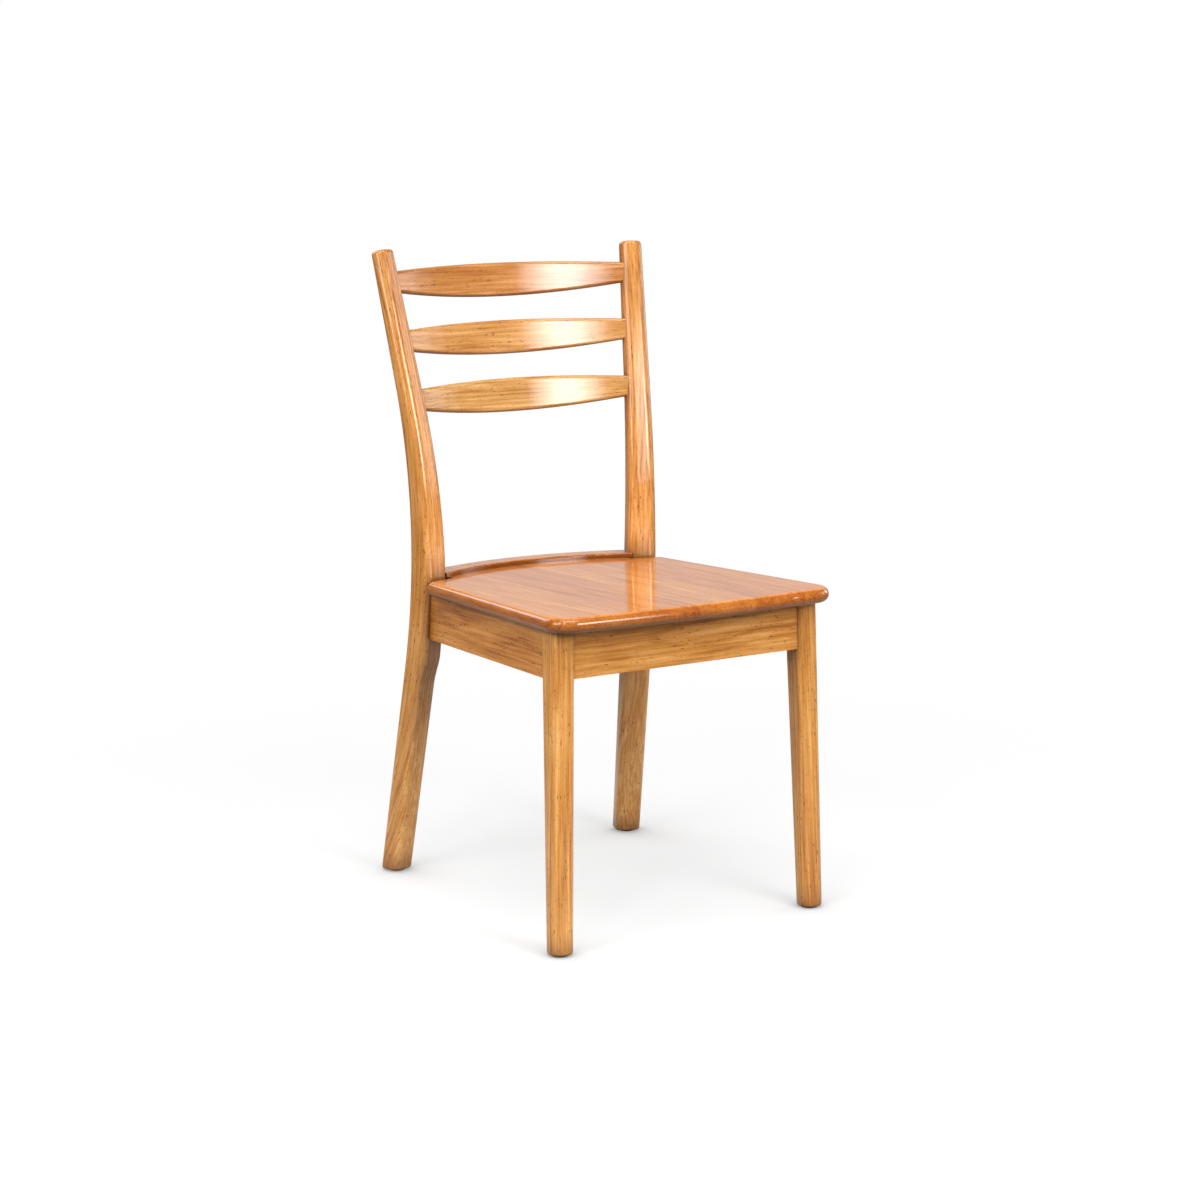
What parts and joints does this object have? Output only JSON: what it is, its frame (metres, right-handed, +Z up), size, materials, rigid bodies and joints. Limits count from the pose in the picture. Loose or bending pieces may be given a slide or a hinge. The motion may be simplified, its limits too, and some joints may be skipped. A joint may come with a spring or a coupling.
{
  "type": "ladderback chair",
  "caption": "Solid wood dining chair: bowed ladder-back slats between curved, splayed rear posts, a flat staved seat with a raised rear lip, an apron frame and tapered front legs",
  "frame": {"origin": "on the floor, under the middle of the chair's outline in plan", "axes": "+Z up, -Y towards the front edge of the seat, +X to the right of someone looking at the chair from the front"},
  "size_m": [0.4428, 0.545, 0.8906],
  "materials": {
    "wood": "clear gloss lacquer on honey-stained open-pored hardwood",
    "steel": "zinc-plated",
    "glide": "moulded, slightly worn"
  },
  "bodies": {
    "root": {"apron_front": "wood", "apron_left": "wood", "apron_rear": "wood", "apron_right": "wood", "corner_block_front_left": "wood", "corner_block_front_right": "wood", "corner_block_rear_left": "wood", "corner_block_rear_right": "wood", "dowels_front_apron": "wood", "dowels_rear_apron": "wood", "dowels_side_aprons": "wood", "glide_nails": "steel", "glides": "glide", "leg_front_left": "wood", "leg_front_right": "wood", "post_rear_left": "wood", "post_rear_right": "wood", "screws_corner_blocks": "steel", "screws_seat": "steel", "seat_stave_centre": "wood", "seat_stave_far_left": "wood", "seat_stave_far_right": "wood", "seat_stave_left": "wood", "seat_stave_right": "wood", "slat_bottom": "wood", "slat_middle": "wood", "slat_top": "wood"}
  },
  "joints": []
}
